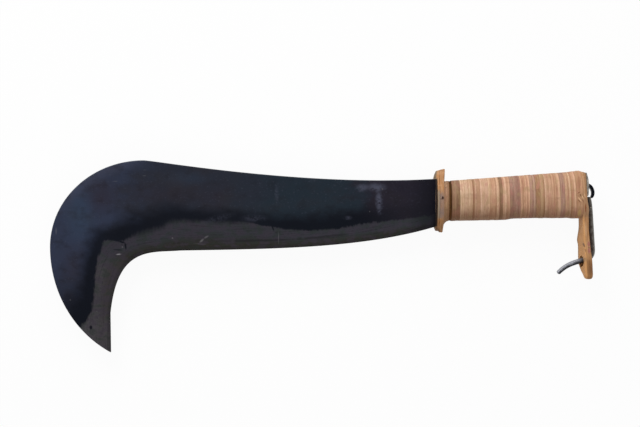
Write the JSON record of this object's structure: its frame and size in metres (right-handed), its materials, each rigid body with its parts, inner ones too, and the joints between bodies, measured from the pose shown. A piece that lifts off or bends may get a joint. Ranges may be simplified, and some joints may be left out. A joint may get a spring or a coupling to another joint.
{
  "type": "billhook",
  "caption": "Hooked billhook with a wide forged blade, an oval leather guard, a grip of stacked leather washers and a leather tail that carries an iron belt hook.",
  "frame": {"origin": "on the tang, in the blade's middle plane, at the guard's face that the blade's shoulders meet", "axes": "+X along the tool to the pommel, +Y to the back of the blade, +Z square to the blade's flat"},
  "size_m": [0.5002, 0.1765, 0.044],
  "materials": {
    "blade_steel": "forge-blued, satin, with a ground bevel",
    "iron": "dark forged iron, worn bright on top",
    "guard_leather": "natural vegetable-tanned, waxed edge",
    "spacer_leather": "dark, in shadow",
    "tail_leather": "natural vegetable-tanned, cut edge",
    "leather_umber": "leather washer, sanded edge",
    "leather_light": "leather washer, sanded edge",
    "leather_hazel": "leather washer, sanded edge",
    "leather_pink": "leather washer, sanded edge",
    "leather_sand": "leather washer, sanded edge",
    "leather_olive": "leather washer, sanded edge",
    "leather_rose": "leather washer, sanded edge",
    "leather_plum": "leather washer, sanded edge",
    "leather_tan": "leather washer, sanded edge"
  },
  "bodies": {
    "root": {"blade": "blade_steel", "guard_front": "guard_leather", "guard_back": "guard_leather", "collar": "guard_leather", "spacer": "spacer_leather", "washer_01": "leather_umber", "washer_02": "leather_umber", "washer_03": "leather_light", "washer_04": "leather_light", "washer_05": "leather_light", "washer_06": "leather_hazel", "washer_07": "leather_hazel", "washer_08": "leather_pink", "washer_09": "leather_pink", "washer_10": "leather_sand", "washer_11": "leather_sand", "washer_12": "leather_sand", "washer_13": "leather_olive", "washer_14": "leather_rose", "washer_15": "leather_rose", "washer_16": "leather_plum", "washer_17": "leather_plum", "washer_18": "leather_plum", "washer_19": "leather_tan", "washer_20": "leather_tan", "washer_21": "leather_tan", "washer_22": "leather_plum", "washer_23": "leather_plum", "washer_24": "leather_olive", "washer_25": "leather_olive", "washer_26": "leather_rose", "washer_27": "leather_rose", "washer_28": "leather_hazel", "washer_29": "leather_hazel", "washer_30": "leather_plum", "washer_31": "leather_sand", "washer_32": "leather_sand", "washer_33": "leather_hazel", "washer_34": "leather_hazel", "pommel_washer_1": "leather_hazel", "pommel_washer_2": "leather_hazel", "tail_inner": "tail_leather", "tail_outer": "tail_leather", "end_plate": "iron", "belt_hook": "iron"}
  },
  "joints": []
}
